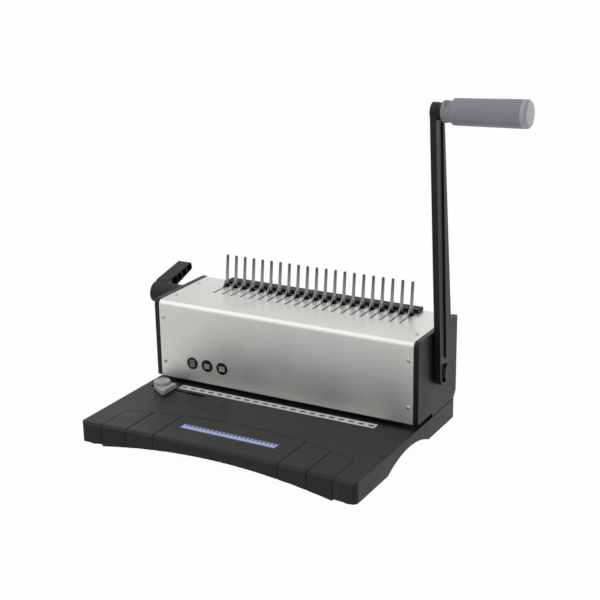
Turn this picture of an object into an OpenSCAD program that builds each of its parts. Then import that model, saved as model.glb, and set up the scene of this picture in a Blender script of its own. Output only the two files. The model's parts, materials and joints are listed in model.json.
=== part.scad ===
// Plastic comb binding machine with a punch lever, a comb opener and a chip drawer.
// X runs to the right, Y to the back, Z up. The origin is the middle of the base, on the desk.

/* [Base] */
// Width of the base, X
base_w = 400; // [380:1:430]
// Depth of the shelf in front of the body, Y
shelf_d = 175.5; // [165:0.5:190]
// Height of the base top above the desk
base_h = 30.5; // [28:0.5:36]
// Wall of the moulded base
base_wall = 3; // [2.4:0.1:3.4]
// Radius of the base's upright corners
base_corner = 8; // [5:0.5:14]
// How far the front edge bows in at the middle
front_bow = 8; // [4:0.5:12]
// Rounding of the base's front top edge
front_round = 6; // [3:0.5:7]
// Height of the arch under each side
side_arch_h = 17.2; // [10:0.2:19]
// Length of the arch under each side, Y
side_arch_l = 136; // [90:1:150]
// Height of a rubber foot
foot_h = 5; // [4:0.1:6]
// Diameter of a rubber foot
foot_d = 18; // [14:0.5:22]
// Gap between the moulded base and the desk
desk_gap = 3.5; // [2:0.1:4]

/* [Chip drawer] */
// Width of the drawer's front panel, X
drawer_w = 336; // [320:1:350]
// Depth of the drawer's front panel on the centre line, Y
drawer_panel_d = 85.5; // [75:0.5:95]
// How far the panel's rear edge curves forward at its ends
drawer_curve = 28; // [15:0.5:32]
// Height of the arch under the drawer's front
drawer_arch_h = 12.8; // [8:0.2:15]
// Rounding of the panel's rear corners
drawer_corner = 7; // [4:0.5:10]
// Height of the drawer front's lower ends above the desk
drawer_low = 1.5; // [1:0.1:3]
// Gap round the drawer's front panel
drawer_gap = 0.6; // [0.4:0.1:1]
// Width of the tray that catches the chips, X
tray_w = 294; // [290:1:298]
// Wall of the tray
tray_wall = 2; // [1.6:0.1:2.4]
// Gap between the tray's rim and the die pocket above it
tray_clear = 2.5; // [1:0.1:4]
// Running gap under and beside the tray
tray_gap = 0.5; // [0.3:0.1:0.8]
// Width of the label on the panel, X
label_w = 141; // [100:1:160]
// Depth of the label, Y
label_d = 14; // [10:0.5:18]

/* [Body] */
// Depth of the silver cover, Y
body_d = 120.2; // [116:0.2:126]
// Height of the cover's top above the base top
body_h = 115.4; // [114:0.2:124]
// Thickness of the cover sheet
sheet_t = 1.5; // [1:0.1:1.8]
// Outside bend radius of the cover
bend_r = 7; // [4:0.5:10]
// Thickness of a side panel, X
panel_t = 7.4; // [6:0.2:9]
// How far a side panel stands in from the base's side
panel_inset = 0.6; // [0.2:0.1:1.2]
// Clear height of the paper throat
throat_h = 5; // [4.5:0.1:6]
// Thickness of a steel side frame, X
frame_t = 3; // [2:0.1:4]
// Width of the flange along a side frame, X
flange_w = 13; // [11:0.5:15]

/* [Comb and punch] */
// Number of comb rings, punches and fingers
ring_count = 21; // [19:1:21]
// Spacing of the rings, X
ring_pitch = 14.2875; // [14:0.0125:14.4]
// Width of a punched hole, X
punch_w = 8; // [7:0.1:8.4]
// Depth of a punched hole, Y
punch_t = 3; // [2.6:0.1:3.2]
// Distance of the hole row behind the cover's front
hole_setback = 17.5; // [16:0.5:19]
// Thickness of the die bar
die_t = 6; // [5:0.2:6.4]
// Thickness of the stripper bar
stripper_t = 8; // [6:0.5:10]
// Diameter of a guide post
post_d = 10; // [8:0.5:12]
// Height of a comb finger above the cover
finger_h = 45.6; // [35:0.2:50]
// Width of a comb finger at its foot, X
finger_w = 4.8; // [3.6:0.1:5]
// Thickness of the finger plate, Y
finger_t = 2; // [1.5:0.1:2.4]
// Backward lean of the fingers in degrees
finger_lean = 6.5; // [4:0.5:8]
// Height of a hook above the cover
hook_h = 9.4; // [8:0.1:11]
// Width of a hook, X
hook_w = 2.2; // [1.8:0.1:2.4]
// Thickness of the sliding hook plate
hook_plate_t = 1.5; // [1.2:0.1:1.6]

/* [Handle] */
// Distance of the handle pivot behind the cover's front
pivot_back = 64; // [63:0.5:68]
// Height of the handle pivot above the base top
pivot_up = 57; // [54:0.5:58]
// Distance from the pivot to the middle of the grip
arm_l = 345.5; // [300:0.5:380]
// Width of the arm at its pivot
arm_w = 33.6; // [30:0.2:36]
// Width of the arm beside the grip
arm_tip_w = 20.6; // [18:0.2:22]
// Thickness of the arm, X
arm_t = 8.2; // [6:0.2:10]
// Forward lean of the arm at rest in degrees
arm_lean = 5.8; // [3:0.2:8]
// Forward swing of the handle in degrees
handle_swing = 70; // [60:1:72]
// Length of the grip's barrel, X
grip_l = 96; // [80:1:110]
// Diameter of the grip's barrel at its outer end
grip_d = 34; // [30:0.5:38]
// Rise of the grip's axis towards its end in degrees
grip_tilt = 2.4; // [0:0.2:4]
// Diameter of the collar beside the arm
collar_d = 26; // [22:0.5:28]
// Diameter of the main shaft
shaft_d = 14; // [12:0.5:15]

/* [Comb opener] */
// Distance of the lever's axis behind the cover's front
lever_back = 68.7; // [66:0.1:71]
// Height of the lever's axis above the base top
lever_up = 100.4; // [98:0.1:101]
// Length of the lever's hub, X
hub_l = 46; // [40:1:52]
// Diameter of the lever's hub
hub_d = 30; // [27:0.5:31]
// Width of the lever's paddle, X
paddle_w = 20; // [16:0.5:24]
// Swing of the lever in degrees
lever_swing = 125; // [100:1:130]
// Diameter of the opener shaft
opener_d = 10; // [8:0.5:11]

/* [Side guide] */
// Height of the guide block
guide_h = 6.6; // [6:0.2:9]
// Diameter of the locking knob
knob_d = 22.6; // [18:0.2:24]
// Thickness of the locking knob
knob_t = 3.6; // [3:0.2:5]
// Length of the guide's slot, X
guide_slot_l = 88; // [80:1:100]

/* [Clearances] */
// Side clearance of a punch in its bars
punch_fit = 0.15; // [0.1:0.01:0.25]
// Radial clearance of a shaft or post in its bore
shaft_fit = 0.08; // [0.03:0.01:0.1]
// End gap beside a turning piece
end_gap = 0.4; // [0.3:0.05:0.6]
// Half the backlash of a tooth flank
backlash = 0.12; // [0.08:0.01:0.16]

/* [Hidden] */
$fn = 64;
big_fn = 1440;
over = 1;
plastic_black = [0.16, 0.16, 0.17];
steel = [0.62, 0.63, 0.65];

// Plan of the base and the body
rear_ledge = 0.3;
base_d = shelf_d + body_d + rear_ledge;
front_y = -base_d / 2;
rear_y = base_d / 2;
half_w = base_w / 2;
cover_y0 = front_y + shelf_d;
cover_y1 = cover_y0 + body_d;
panel_x1 = half_w - panel_inset;
panel_x0 = panel_x1 - panel_t;
frame_x0 = panel_x0 - frame_t;
flange_x0 = frame_x0 - flange_w;
cover_z0 = base_h + throat_h;
cover_z1 = base_h + body_h;
inner_y = cover_y0 + sheet_t;
inner_z = cover_z1 - sheet_t;
bend_in = bend_r - sheet_t;
panel_rise = 0.6;
panel_tail = 2.8;
rear_cover_t = 1.5;

// Base details
bow_r = (half_w * half_w + front_bow * front_bow) / (2 * front_bow);
bow_y = front_y + front_bow - bow_r;
base_top_z = base_h - base_wall;
side_arch_r = (side_arch_l * side_arch_l / 4 + side_arch_h * side_arch_h) / (2 * side_arch_h);
foot_edge = 2.5;
foot_inset = foot_d / 2 + base_wall + foot_edge;
foot_post_d = foot_d + 2;
foot_x = half_w - foot_inset;
foot_y = rear_y - foot_inset;
bay_x = drawer_w / 2 + drawer_gap;
plate_z = 5;
plate_t = 1.2;
plate_side = 17;
plate_x = tray_w / 2 + plate_side;
plate_edge = [10, 16];
plate_y0 = front_y + drawer_panel_d + plate_edge[0];
plate_y1 = rear_y - plate_edge[1];
boss_side = 11;
boss_x = tray_w / 2 + boss_side;
boss_d = 8;
boss_inset = 12;
screw_d = 3;
screw_head_d = 6;
screw_head_h = 2;
screw_l = 10;
bay_cheek = 8;

// Chip drawer
panel_rear_y = front_y + drawer_panel_d;
drawer_half = drawer_w / 2;
drawer_r = (drawer_half * drawer_half + drawer_curve * drawer_curve) / (2 * drawer_curve);
drawer_land = 3;
arch_half = drawer_half - drawer_land;
drawer_arch_r = (arch_half * arch_half + drawer_arch_h * drawer_arch_h) / (2 * drawer_arch_h);
drawer_yc = panel_rear_y - drawer_r;
corner_x = drawer_half - drawer_corner;
corner_y = drawer_yc + sqrt(pow(drawer_r - drawer_corner, 2) - corner_x * corner_x);
corner_soft = 0.1;
groove_x = [91, 132];
groove_w = 1.2;
groove_h = 0.8;
tray_z = plate_z + plate_t + tray_gap;
tray_lead = 5;
tray_y0 = panel_rear_y - drawer_curve - tray_lead;
rail_w = 3.4;
rail_h = 6;
label_t = 0.4;
label_x = -4.5;
label_back = 50;
label_y = front_y + label_back;

// Punch
span = (ring_count - 1) * ring_pitch;
hole_y = cover_y0 + hole_setback;
die_lead = 8;
die_y0 = inner_y + die_lead;
die_tail = 18;
die_y1 = hole_y + die_tail;
die_z0 = base_h - die_t;
pocket_wall = 3;
chip_slot = 8;
tray_top = die_z0 - pocket_wall - tray_clear;
stripper_z1 = cover_z0 + stripper_t;
spacer_w = 13;
stop_back = 6;
stop_t = 3;
module_m = 1.25;
punch_teeth = 17;
lever_teeth = 14;
tooth_step = PI * module_m;
punch_pr = punch_teeth * module_m / 2;
lever_pr = lever_teeth * module_m / 2;
addendum = 0.8 * module_m;
dedendum = 1.25 * module_m;
stroke = punch_pr * handle_swing * PI / 180;
shaft_y = cover_y0 + pivot_back;
shaft_z = base_h + pivot_up;
carrier_d = 15.5;
carrier_h = 20;
carrier_gap = 7;
carrier_y0 = hole_y + punch_t / 2;
carrier_y1 = carrier_y0 + carrier_d;
carrier_z0 = stripper_z1 + stroke + carrier_gap;
carrier_z1 = carrier_z0 + carrier_h;
post_wall = 6;
post_x = span / 2 + punch_w / 2 + post_wall + post_d / 2;
post_y = (carrier_y0 + carrier_y1) / 2;
post_over = 16;
post_top = carrier_z1 + post_over;
post_foot = 2;
post_z0 = cover_z0 + post_foot;
carrier_x = post_x + post_d / 2 + post_wall;
punch_rest = 0.6;
punch_tip_z = cover_z0 + punch_rest;
clamp_edge = 2;
punch_top_z = carrier_z1 - clamp_edge;
clamp_t = 5;
clamp_screw_d = 4;
clamp_screw_in = 8;
clamp_head = [7, 2.4];
gear_inset = 13;
gear_x = span / 2 - gear_inset;
gear_w = 14;
rack_root_y = shaft_y - punch_pr - dedendum;
rack_z0 = carrier_z0;
rack_foot_z1 = carrier_z0 + carrier_h;
rack_lower = 2;
rack_spare = 8;
rack_upper = ceil((stroke + rack_spare) / tooth_step);
rack_body = 10;
pressure_angle = 20;
bush_flange = 3;
bush_wall = 3;
collar_w = 5;
collar_ring = 4;

// Handle
arm_gap = 1.6;
arm_x0 = panel_x1 + arm_gap;
arm_x1 = arm_x0 + arm_t;
arm_boss = 0.5;
arm_boss_r = arm_w / 2 + arm_boss;
tip_d = 22.5;
tip_boss_d = 21;
tip_boss_l = 6.6;
grip_off = -1;
arm_step = 2.2;
shaft_seat = arm_x0 + arm_t / 2;
spindle_d = 10;
spindle_in = 2;
collar_x0 = arm_t + tip_boss_l;
collar_l = 10.4;
grip_x0 = collar_x0 + collar_l;
grip_x1 = grip_x0 + grip_l;
grip_taper = 1.7;
grip_in_d = grip_d - grip_taper;
cap_l = 8;
cap_spigot_d = 22;

// Comb opener
lever_y = cover_y0 + lever_back;
lever_z = base_h + lever_up;
hook_travel = lever_pr * lever_swing * PI / 180;
rack_back = 1.2;
hook_z0 = lever_z + lever_pr + dedendum + rack_back;
hook_z1 = hook_z0 + hook_plate_t;
comb_x = 1.75;
finger_back = 25.8;
finger_y = cover_y1 - finger_back;
finger_strip_h = 22;
finger_root = 2;
strip_end = 6;
strip_under = 2.5;
finger_strip_top = inner_z - strip_under;
finger_tip_w = 3.6;
support_t = 6;
comb_bar_d = 16.2;
comb_bar_y0 = cover_y1 - comb_bar_d;
comb_bar_end = [5.9, 7.3];
comb_bar_h = 5.4;
hook_t = 1.6;
hook_gap = 0.8;
hook_y1 = finger_y - hook_gap;
hook_r = 25;
hook_steep = 65;
hook_drop = hook_r * cos(hook_steep);
hook_reach = sqrt((hook_r + hook_t / 2) ^ 2 - hook_drop ^ 2);
slot_w = 3;
slot_back = 60;
slot_y0 = cover_y0 + slot_back;
mouth_w = 8.5;
mouth_d = 11.7;
mouth_gap = 0.5;
mouth_y1 = comb_bar_y0 - mouth_gap;
hook_side = 10;
hook_edge = span / 2 + hook_side;
hook_lead = 22;
hook_plate_y0 = lever_y - hook_lead;
hook_rack_lower = 2;
hook_rack_upper = floor((hook_y1 - lever_y) / tooth_step);
rail_lip = 2.6;
rail_side = 4;
rail_drop = 3.2;
rail_end = [4, 0.4];
rail_y0 = hook_plate_y0 - hook_travel - rail_end[0];
rail_y1 = hook_y1 + rail_end[1];
rail_top = hook_z0 - end_gap;
rail_x0 = hook_edge - rail_lip;
rail_x1 = hook_edge + rail_side;
hub_x1 = -panel_x1 - end_gap;
hub_x0 = hub_x1 - hub_l;
hub_wall = 7;
lever_screw_d = 5;
lever_head_d = 9;
lever_head_h = 3;
paddle_l = 69.2;
paddle_up = 1.3;
paddle_lead = 8;
paddle_web = 9;
paddle_rise = 12;
paddle_tip_h = 12.5;
paddle_root_h = 19.7;
paddle_round = 5;
paddle_wall = 2.4;
paddle_ribs = 3;

// Side guide
guide_ahead = 30.5;
guide_y = cover_y0 - guide_ahead;
guide_side = 29;
guide_x = guide_side - half_w;
guide_reach = 18;
guide_face_x = guide_x + guide_reach;
guide_slot_w = 5;
slot_side = 10;
guide_slot_x0 = slot_side - half_w;
guide_fit = 0.3;
guide_l = 31;
guide_tail = 8;
guide_rear_y = guide_y + guide_tail;
guide_boss_d = 23;
guide_face_t = 4;
knob_z0 = base_h + guide_h + 2 * guide_fit;
knob_seat = 2;
stud_d = 4.2;
clamp_l = 22;
clamp_w = 14;
clamp_plate_t = 3;

// Scale strip
strip_over = 6.625;
strip_l = span + 2 * strip_over;
strip_x = -1.5;
strip_d = 13;
strip_ahead = 22;
strip_y = cover_y0 - strip_ahead;
strip_t = 0.6;

// Cover details
front_screw_in = 6;
front_screw_x = panel_x0 - front_screw_in;
front_screw_z = [27.4, 91.2];
top_screw_in = 9;
top_screw_x = panel_x0 - top_screw_in;
top_screw_y = [30, 88];
cover_screw_d = 3;
cover_head_d = 5.6;
cover_head_h = 1.4;
badge_d = 17.5;
badge_t = 0.6;
badge_up = 31;
badge_z = base_h + badge_up;
badge_side = 51.5;
badge_x0 = badge_side - panel_x0;
badge_step = 24;
tie_d = 8;
tie_front = [14, 16];
tie_rear = [14, 24];
shaft_hole = 4;

// A block between two corners
module block(a, b) {
    translate(a) cube(b - a);
}

// The same piece at the left and at the right
module both_sides() {
    children();
    mirror([1, 0, 0]) children();
}

// One copy for each comb ring
module each_ring() {
    for (i = [0 : ring_count - 1])
        translate([i * ring_pitch - span / 2, 0, 0]) children();
}

// One copy for each finger of the comb holder, whose row is set off from the punches
module each_finger() {
    translate([comb_x, 0, 0]) each_ring() children();
}

// A profile drawn in Y and Z, run along X
module along_x(x0, x1) {
    translate([x0, 0, 0]) rotate([90, 0, 90]) linear_extrude(x1 - x0) children();
}

// A round bar along X
module bar_x(x0, x1, y, z, d) {
    translate([x0, y, z]) rotate([0, 90, 0]) cylinder(d = d, h = x1 - x0);
}

// Rectangle with four round corners
module round_rect(x0, x1, y0, y1, r) {
    translate([x0 + r, y0]) square([x1 - x0 - 2 * r, y1 - y0]);
    translate([x0, y0 + r]) square([x1 - x0, y1 - y0 - 2 * r]);
    for (x = [x0 + r, x1 - r], y = [y0 + r, y1 - r])
        translate([x, y]) circle(r);
}

// Rectangle in Y and Z with a round top front corner
module round_front(y0, y1, z0, z1, r) {
    translate([y0 + r, z0]) square([y1 - y0 - r, z1 - z0]);
    translate([y0, z0]) square([y1 - y0, z1 - z0 - r]);
    translate([y0 + r, z1 - r]) circle(r);
}

// Plan of the base, drawn in by an even wall
module base_plan(wall) {
    difference() {
        round_rect(-half_w + wall, half_w - wall, front_y + wall, rear_y - wall, base_corner - wall);
        translate([0, bow_y + wall]) circle(bow_r, $fn = big_fn);
    }
}

// Where the bowed front stands at a distance from the centre line
function front_at(x) = bow_y + sqrt(bow_r * bow_r - x * x);

// Cutter that rounds the bowed front top edge
module front_edge_cut() {
    translate([0, bow_y, base_h - front_round]) rotate_extrude($fn = big_fn) difference() {
        translate([bow_r - over, 0]) square([front_round + over, front_round + over]);
        translate([bow_r + front_round, 0]) circle(front_round);
    }
}

// Plan of the drawer's front panel, with two round rear corners
module panel_plan(gap) {
    side = drawer_half + gap;
    corner_r = drawer_corner + gap;
    difference() {
        intersection() {
            translate([-side, front_y - over]) square([2 * side, drawer_panel_d + gap + over]);
            translate([0, drawer_yc]) circle(drawer_r + gap, $fn = big_fn);
        }
        both_sides() translate([corner_x + corner_soft, corner_y + corner_soft]) difference() {
            translate([corner_r * corner_x / (drawer_r - drawer_corner), 0]) square(corner_r + over);
            circle(corner_r);
        }
    }
}

// Where the four screws of the bottom plate stand
module each_base_screw() {
    for (x = [-boss_x, boss_x], y = [plate_y0 + boss_inset, plate_y1 - boss_inset])
        translate([x, y, 0]) children();
}

// Where the four feet stand
module each_foot() {
    for (x = [-foot_x, foot_x], y = [-foot_y, foot_y])
        translate([x, y, 0]) children();
}

module base_shell() {
    color(plastic_black) difference() {
        union() {
            difference() {
                translate([0, 0, desk_gap]) linear_extrude(base_h - desk_gap) base_plan(0);
                translate([0, 0, -over]) linear_extrude(base_top_z + over) base_plan(base_wall);
            }
            difference() {
                intersection() {
                    translate([0, 0, desk_gap])
                        linear_extrude(base_top_z - desk_gap + over / 2) base_plan(0);
                    both_sides() block([bay_x, front_y - over, 0],
                                       [bay_x + base_wall, panel_rear_y - drawer_curve + bay_cheek, base_h]);
                }
                each_foot() cylinder(d = foot_d, h = foot_h);
            }
            each_foot() translate([0, 0, foot_h])
                cylinder(d = foot_post_d, h = base_top_z - foot_h + over / 2);
            each_base_screw() translate([0, 0, plate_z + plate_t])
                cylinder(d = boss_d, h = base_top_z - plate_z - plate_t + over / 2);
            block([-panel_x0 + 1, die_y0 - pocket_wall, die_z0 - pocket_wall],
                  [panel_x0 - 1, die_y1 + pocket_wall, base_top_z + over / 2]);
        }
        front_edge_cut();
        translate([0, 0, -over]) linear_extrude(base_h + 2 * over) panel_plan(drawer_gap);
        both_sides() along_x(half_w - base_wall - over, half_w + over)
            translate([0, side_arch_h - side_arch_r]) circle(side_arch_r, $fn = big_fn);
        block([-frame_x0, die_y0, die_z0], [frame_x0, die_y1, base_h + over]);
        block([-span / 2 - punch_w, hole_y - chip_slot / 2, 0],
              [span / 2 + punch_w, hole_y + chip_slot / 2, base_h]);
        each_base_screw() cylinder(d = screw_d, h = plate_z + 2 * screw_l);
        block([strip_x - strip_l / 2, strip_y, base_h - strip_t],
              [strip_x + strip_l / 2, strip_y + strip_d, base_h + over]);
        translate([0, 0, base_top_z - over]) linear_extrude(base_wall + 2 * over)
            round_rect(guide_slot_x0, guide_slot_x0 + guide_slot_l,
                       guide_y - guide_slot_w / 2, guide_y + guide_slot_w / 2, guide_slot_w / 2 - 0.01);
    }
}

module bottom_plate() {
    color(steel) difference() {
        block([-plate_x, plate_y0, plate_z], [plate_x, plate_y1, plate_z + plate_t]);
        each_base_screw() cylinder(d = screw_d, h = base_h);
    }
}

module base_screws() {
    color("silver") each_base_screw() {
        translate([0, 0, plate_z - screw_head_h]) cylinder(d = screw_head_d, h = screw_head_h);
        translate([0, 0, plate_z - over / 2]) cylinder(d = screw_d, h = screw_l);
    }
}

module rubber_feet() {
    color([0.1, 0.1, 0.1]) each_foot() cylinder(d = foot_d, h = foot_h);
}

module drawer_rails() {
    color(steel) both_sides()
        block([tray_w / 2 + tray_gap, plate_y0, plate_z + plate_t],
              [tray_w / 2 + tray_gap + rail_w, plate_y1 - boss_inset, plate_z + plate_t + rail_h]);
}

module scale_strip() {
    color([0.85, 0.86, 0.85])
        block([strip_x - strip_l / 2, strip_y, base_h - strip_t],
              [strip_x + strip_l / 2, strip_y + strip_d, base_h]);
}

module chip_drawer() {
    color(plastic_black) {
        difference() {
            union() {
                translate([0, 0, base_top_z]) linear_extrude(base_wall) intersection() {
                    base_plan(0);
                    panel_plan(0);
                }
                translate([0, 0, drawer_low]) linear_extrude(base_h - drawer_low) intersection() {
                    difference() {
                        base_plan(0);
                        base_plan(base_wall);
                    }
                    translate([-drawer_half, front_y - over])
                        square([drawer_w, front_bow + base_wall + 2 * over]);
                }
                both_sides()
                    block([tray_w / 2 - tray_wall, front_at(tray_w / 2) + base_wall - over / 2, tray_z],
                          [tray_w / 2, tray_y0, base_top_z + over / 2]);
                block([-tray_w / 2, tray_y0 - tray_wall, tray_z],
                      [tray_w / 2, tray_y0, base_top_z + over / 2]);
            }
            front_edge_cut();
            translate([0, front_y - over, drawer_arch_h + drawer_low - drawer_arch_r]) rotate([-90, 0, 0])
                cylinder(r = drawer_arch_r, h = front_bow + base_wall + 4 * over, $fn = big_fn);
            for (x = groove_x) both_sides() along_x(x - groove_w / 2, x + groove_w / 2) difference() {
                translate([front_y - over, 0]) square([drawer_panel_d + over, base_h + over]);
                round_front(front_at(x) + groove_h, cover_y0, -over, base_h - groove_h,
                            front_round - groove_h);
            }
            block([label_x - label_w / 2, label_y - label_d / 2, base_h - label_t],
                  [label_x + label_w / 2, label_y + label_d / 2, base_h + over]);
        }
        difference() {
            block([-tray_w / 2, tray_y0 - tray_wall, tray_z], [tray_w / 2, die_y1, tray_top]);
            block([-tray_w / 2 + tray_wall, tray_y0, tray_z + tray_wall],
                  [tray_w / 2 - tray_wall, die_y1 - tray_wall, tray_top + over]);
        }
    }
}

module drawer_label() {
    color([0.25, 0.45, 0.75])
        block([label_x - label_w / 2, label_y - label_d / 2, base_h - label_t],
              [label_x + label_w / 2, label_y + label_d / 2, base_h]);
}

module die_bar() {
    color(steel) difference() {
        block([-frame_x0, die_y0, die_z0], [frame_x0, die_y1, base_h]);
        each_ring() block([-punch_w / 2 - punch_fit, hole_y - punch_t / 2 - punch_fit, 0],
                          [punch_w / 2 + punch_fit, hole_y + punch_t / 2 + punch_fit, base_h + over]);
    }
}

module stripper_bar() {
    color(steel) difference() {
        block([-frame_x0, inner_y, cover_z0], [frame_x0, die_y1, stripper_z1]);
        each_ring() block([-punch_w / 2 - punch_fit, hole_y - punch_t / 2 - punch_fit, 0],
                          [punch_w / 2 + punch_fit, hole_y + punch_t / 2 + punch_fit, shaft_z]);
        both_sides() translate([post_x, post_y, post_z0]) cylinder(d = post_d, h = stripper_t);
    }
}

module throat_spacers() {
    color(steel) both_sides()
        block([frame_x0 - spacer_w, die_y0, base_h], [frame_x0, die_y1, cover_z0]);
}

module paper_stop() {
    color(steel)
        block([spacer_w - frame_x0, hole_y + stop_back, base_h],
              [frame_x0 - spacer_w, hole_y + stop_back + stop_t, cover_z0]);
}

module guide_posts() {
    color("silver") both_sides()
        translate([post_x, post_y, post_z0]) cylinder(d = post_d, h = post_top - post_z0);
}

// Every fifth gap between two punches takes a clamp screw
module each_clamp_screw() {
    for (i = [2 : 5 : ring_count - 3])
        translate([(i + 0.5) * ring_pitch - span / 2, carrier_y0, (carrier_z0 + carrier_z1) / 2])
            rotate([90, 0, 0]) children();
}

module punch_carrier() {
    color(steel) difference() {
        block([-carrier_x, carrier_y0, carrier_z0], [carrier_x, carrier_y1, carrier_z1]);
        both_sides() translate([post_x, post_y, carrier_z0 - over])
            cylinder(d = post_d + 2 * shaft_fit, h = carrier_h + 2 * over);
        each_clamp_screw() translate([0, 0, -clamp_screw_in])
            cylinder(d = clamp_screw_d, h = clamp_screw_in + over);
    }
}

module punches() {
    color("silver") each_ring()
        block([-punch_w / 2, hole_y - punch_t / 2, punch_tip_z],
              [punch_w / 2, hole_y + punch_t / 2, punch_top_z]);
}

module clamp_bar() {
    color(steel) difference() {
        block([-span / 2 - punch_w, carrier_y0 - punch_t - clamp_t, carrier_z0 + clamp_edge],
              [span / 2 + punch_w, carrier_y0 - punch_t, punch_top_z]);
        each_clamp_screw() cylinder(d = clamp_screw_d, h = punch_t + clamp_t + over);
    }
}

module clamp_screws() {
    color("dimgray") each_clamp_screw() {
        translate([0, 0, -clamp_screw_in])
            cylinder(d = clamp_screw_d, h = clamp_screw_in + punch_t + clamp_t + over / 2);
        translate([0, 0, punch_t + clamp_t]) cylinder(d = clamp_head[0], h = clamp_head[1]);
    }
}

// Half of a rack tooth's thickness at a height above the pitch line
function rack_half(h) = tooth_step / 4 - backlash - h * tan(pressure_angle);

// Rack teeth along +Y on a line at x = 0 that is the pitch line, with a gap at y = 0
module rack_teeth(low, high) {
    for (i = [-low : high - 1])
        translate([0, (i + 0.5) * tooth_step]) polygon([
            [-dedendum - over / 4, -rack_half(-dedendum)], [addendum, -rack_half(addendum)],
            [addendum, rack_half(addendum)], [-dedendum - over / 4, rack_half(-dedendum)]
        ]);
}

// Angle of an involute at a radius, from where it leaves its base circle
function involute(base_r, r) = sqrt(pow(max(r, base_r) / base_r, 2) - 1) * 180 / PI
    - acos(base_r / max(r, base_r));

// Half of a pinion tooth's angle at a radius
function tooth_half(n, r) = 90 / n + involute(cos(pressure_angle), 1)
    - involute(n * module_m / 2 * cos(pressure_angle), r) - backlash / (n * module_m / 2) * 180 / PI;

// Point of a tooth flank, on either side
function flank(n, r, side, turn) = let(a = turn + side * tooth_half(n, r)) [r * cos(a), r * sin(a)];

// Outline of a pinion with a tooth at the given angle
module pinion_outline(n, turn) {
    pr = n * module_m / 2;
    root = pr - dedendum;
    steps = 5;
    radii = [for (k = [0 : steps]) root + (addendum + dedendum) * k / steps];
    polygon([for (i = [0 : n - 1]) let(a = turn + i * 360 / n) each concat(
        [for (k = [0 : steps]) flank(n, radii[k], -1, a)],
        [for (k = [steps : -1 : 0]) flank(n, radii[k], 1, a)]
    )]);
}

module punch_racks() {
    color("gray") both_sides() along_x(gear_x - gear_w / 2, gear_x + gear_w / 2) {
        translate([carrier_y1, rack_z0]) square([rack_root_y - carrier_y1, rack_foot_z1 - rack_z0]);
        translate([rack_root_y - rack_body, rack_z0])
            square([rack_body, shaft_z + rack_upper * tooth_step - rack_z0]);
        translate([shaft_y - punch_pr, shaft_z]) rack_teeth(rack_lower, rack_upper);
    }
}

module main_shaft() {
    color("silver") bar_x(-panel_x0, shaft_seat, shaft_y, shaft_z, shaft_d);
}

module punch_pinions() {
    color("gray") both_sides() difference() {
        along_x(gear_x - gear_w / 2, gear_x + gear_w / 2)
            translate([shaft_y, shaft_z]) pinion_outline(punch_teeth, 180);
        bar_x(0, half_w, shaft_y, shaft_z, shaft_d);
    }
}

// Ring round a shaft
module ring_x(x0, x1, y, z, d_out, d_in) {
    difference() {
        bar_x(x0, x1, y, z, d_out);
        bar_x(x0 - over, x1 + over, y, z, d_in);
    }
}

module shaft_collars() {
    color("dimgray") both_sides()
        ring_x(frame_x0 - bush_flange - end_gap - collar_w, frame_x0 - bush_flange - end_gap,
               shaft_y, shaft_z, shaft_d + 2 * collar_ring, shaft_d);
}

// Flanged bush in a side frame
module bush(y, z, d) {
    difference() {
        union() {
            bar_x(frame_x0 - bush_flange, frame_x0, y, z, d + 3 * bush_wall);
            bar_x(frame_x0 - bush_flange, panel_x0, y, z, d + 2 * bush_wall);
        }
        bar_x(0, half_w, y, z, d + 2 * shaft_fit);
    }
}

module shaft_bushes() {
    color([0.75, 0.6, 0.3]) both_sides() bush(shaft_y, shaft_z, shaft_d);
}

// Right-hand side frame: plate, front flange and top flange
module frame_half() {
    top_y0 = inner_y + bend_in;
    difference() {
        union() {
            along_x(frame_x0, panel_x0)
                round_front(inner_y, cover_y1 - rear_cover_t, base_h, inner_z, bend_in);
            block([flange_x0, inner_y, stripper_z1], [frame_x0, inner_y + frame_t, inner_z - bend_in]);
            block([flange_x0, top_y0, inner_z - frame_t], [frame_x0, finger_y - 1, inner_z]);
        }
        block([frame_x0 - over, 0, base_h - over], [panel_x0 + over, hole_y + stop_back, cover_z0]);
        bar_x(0, half_w, shaft_y, shaft_z, shaft_d + 2 * bush_wall);
        bar_x(0, half_w, lever_y, lever_z, opener_d + 2 * bush_wall);
        block([rail_x0, rail_y0, rail_top - rail_drop - end_gap],
              [rail_x1 + end_gap, rail_y1, inner_z + over]);
        cover_screw_shanks();
    }
}

module frame_right() {
    color(steel) frame_half();
}

module frame_left() {
    color(steel) mirror([1, 0, 0]) frame_half();
}

module tie_rods() {
    color("silver") {
        bar_x(-frame_x0, frame_x0, inner_y + tie_front[0], inner_z - tie_front[1], tie_d);
        bar_x(-frame_x0, frame_x0, cover_y1 - tie_rear[0], base_h + tie_rear[1], tie_d);
    }
}

// Right-hand side panel, with a hole where a shaft comes through
module panel_half(hole_at, hole_d) {
    notch_l = 44.5;
    chamfer_d = 8;
    chamfer_h = 10;
    y1 = cover_y1 + panel_tail;
    difference() {
        along_x(panel_x0, panel_x1) difference() {
            round_front(cover_y0, y1, base_h, cover_z1 + panel_rise, bend_r + panel_rise);
            translate([cover_y0 - over, base_h - over]) square([notch_l + over, throat_h + over]);
            polygon([[y1 - chamfer_d, base_h], [y1 + over, base_h - over],
                     [y1 + over, base_h + chamfer_h], [y1, base_h + chamfer_h]]);
        }
        bar_x(0, half_w, hole_at[0], hole_at[1], hole_d);
    }
}

module side_panel_right() {
    color(plastic_black) panel_half([shaft_y, shaft_z], shaft_d + shaft_hole);
}

module side_panel_left() {
    color(plastic_black) mirror([1, 0, 0]) panel_half([lever_y, lever_z], opener_d + shaft_hole);
}

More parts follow.
